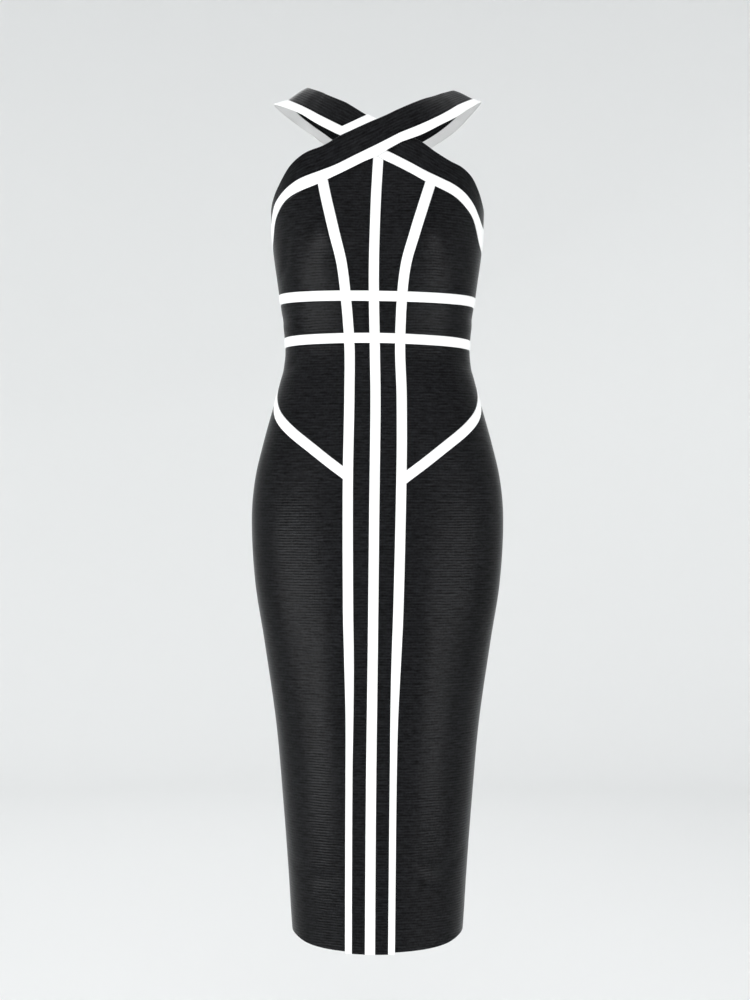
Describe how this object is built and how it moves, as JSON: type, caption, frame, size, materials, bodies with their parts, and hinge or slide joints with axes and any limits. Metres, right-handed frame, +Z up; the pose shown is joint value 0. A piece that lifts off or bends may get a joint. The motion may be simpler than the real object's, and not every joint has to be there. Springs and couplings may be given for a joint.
{
  "type": "bodycon dress",
  "caption": "Hollow close-fitting midi dress of dark ribbed knit with pale knit strips along its seams and wide straps that cross at the front and back.",
  "frame": {"origin": "on the shoulder line, midway between the two shoulder straps, where a wearer carries the dress", "axes": "+Z up, the front faces -Y, +X toward the wearer's left side"},
  "size_m": [0.3416, 0.2268, 1.159],
  "materials": {
    "black_knit": "fine horizontal ribs with a soft broad sheen",
    "white_knit": "smooth matte knit"
  },
  "bodies": {
    "root": {"back_bodice_left": "black_knit", "back_bodice_right": "black_knit", "back_skirt_left": "black_knit", "back_skirt_right": "black_knit", "back_waist_left": "black_knit", "back_waist_right": "black_knit", "centre_strip_bust": "white_knit", "centre_strip_skirt": "white_knit", "centre_strip_waist": "white_knit", "crossing_band": "white_knit", "front_bust_centre_left": "black_knit", "front_bust_centre_right": "black_knit", "front_bust_side_left": "black_knit", "front_bust_side_right": "black_knit", "front_hip_yoke_left": "black_knit", "front_hip_yoke_right": "black_knit", "front_skirt_centre_left": "black_knit", "front_skirt_centre_right": "black_knit", "front_skirt_side_left": "black_knit", "front_skirt_side_right": "black_knit", "front_waist_centre_left": "black_knit", "front_waist_centre_right": "black_knit", "front_waist_side_left": "black_knit", "front_waist_side_right": "black_knit", "hip_strip_left": "white_knit", "hip_strip_right": "white_knit", "lower_waist_strip_back_left": "white_knit", "lower_waist_strip_back_right": "white_knit", "lower_waist_strip_front": "white_knit", "over_strap_band_back": "black_knit", "over_strap_band_front": "black_knit", "over_strap_border_back": "white_knit", "over_strap_border_front": "white_knit", "princess_strip_bust_left": "white_knit", "princess_strip_bust_right": "white_knit", "princess_strip_skirt_left": "white_knit", "princess_strip_skirt_right": "white_knit", "princess_strip_waist_left": "white_knit", "princess_strip_waist_right": "white_knit", "under_strap_band_back": "black_knit", "under_strap_band_front": "black_knit", "under_strap_border_back": "white_knit", "under_strap_border_front": "white_knit", "upper_waist_strip_back_left": "white_knit", "upper_waist_strip_back_right": "white_knit", "upper_waist_strip_front": "white_knit"}
  },
  "joints": []
}
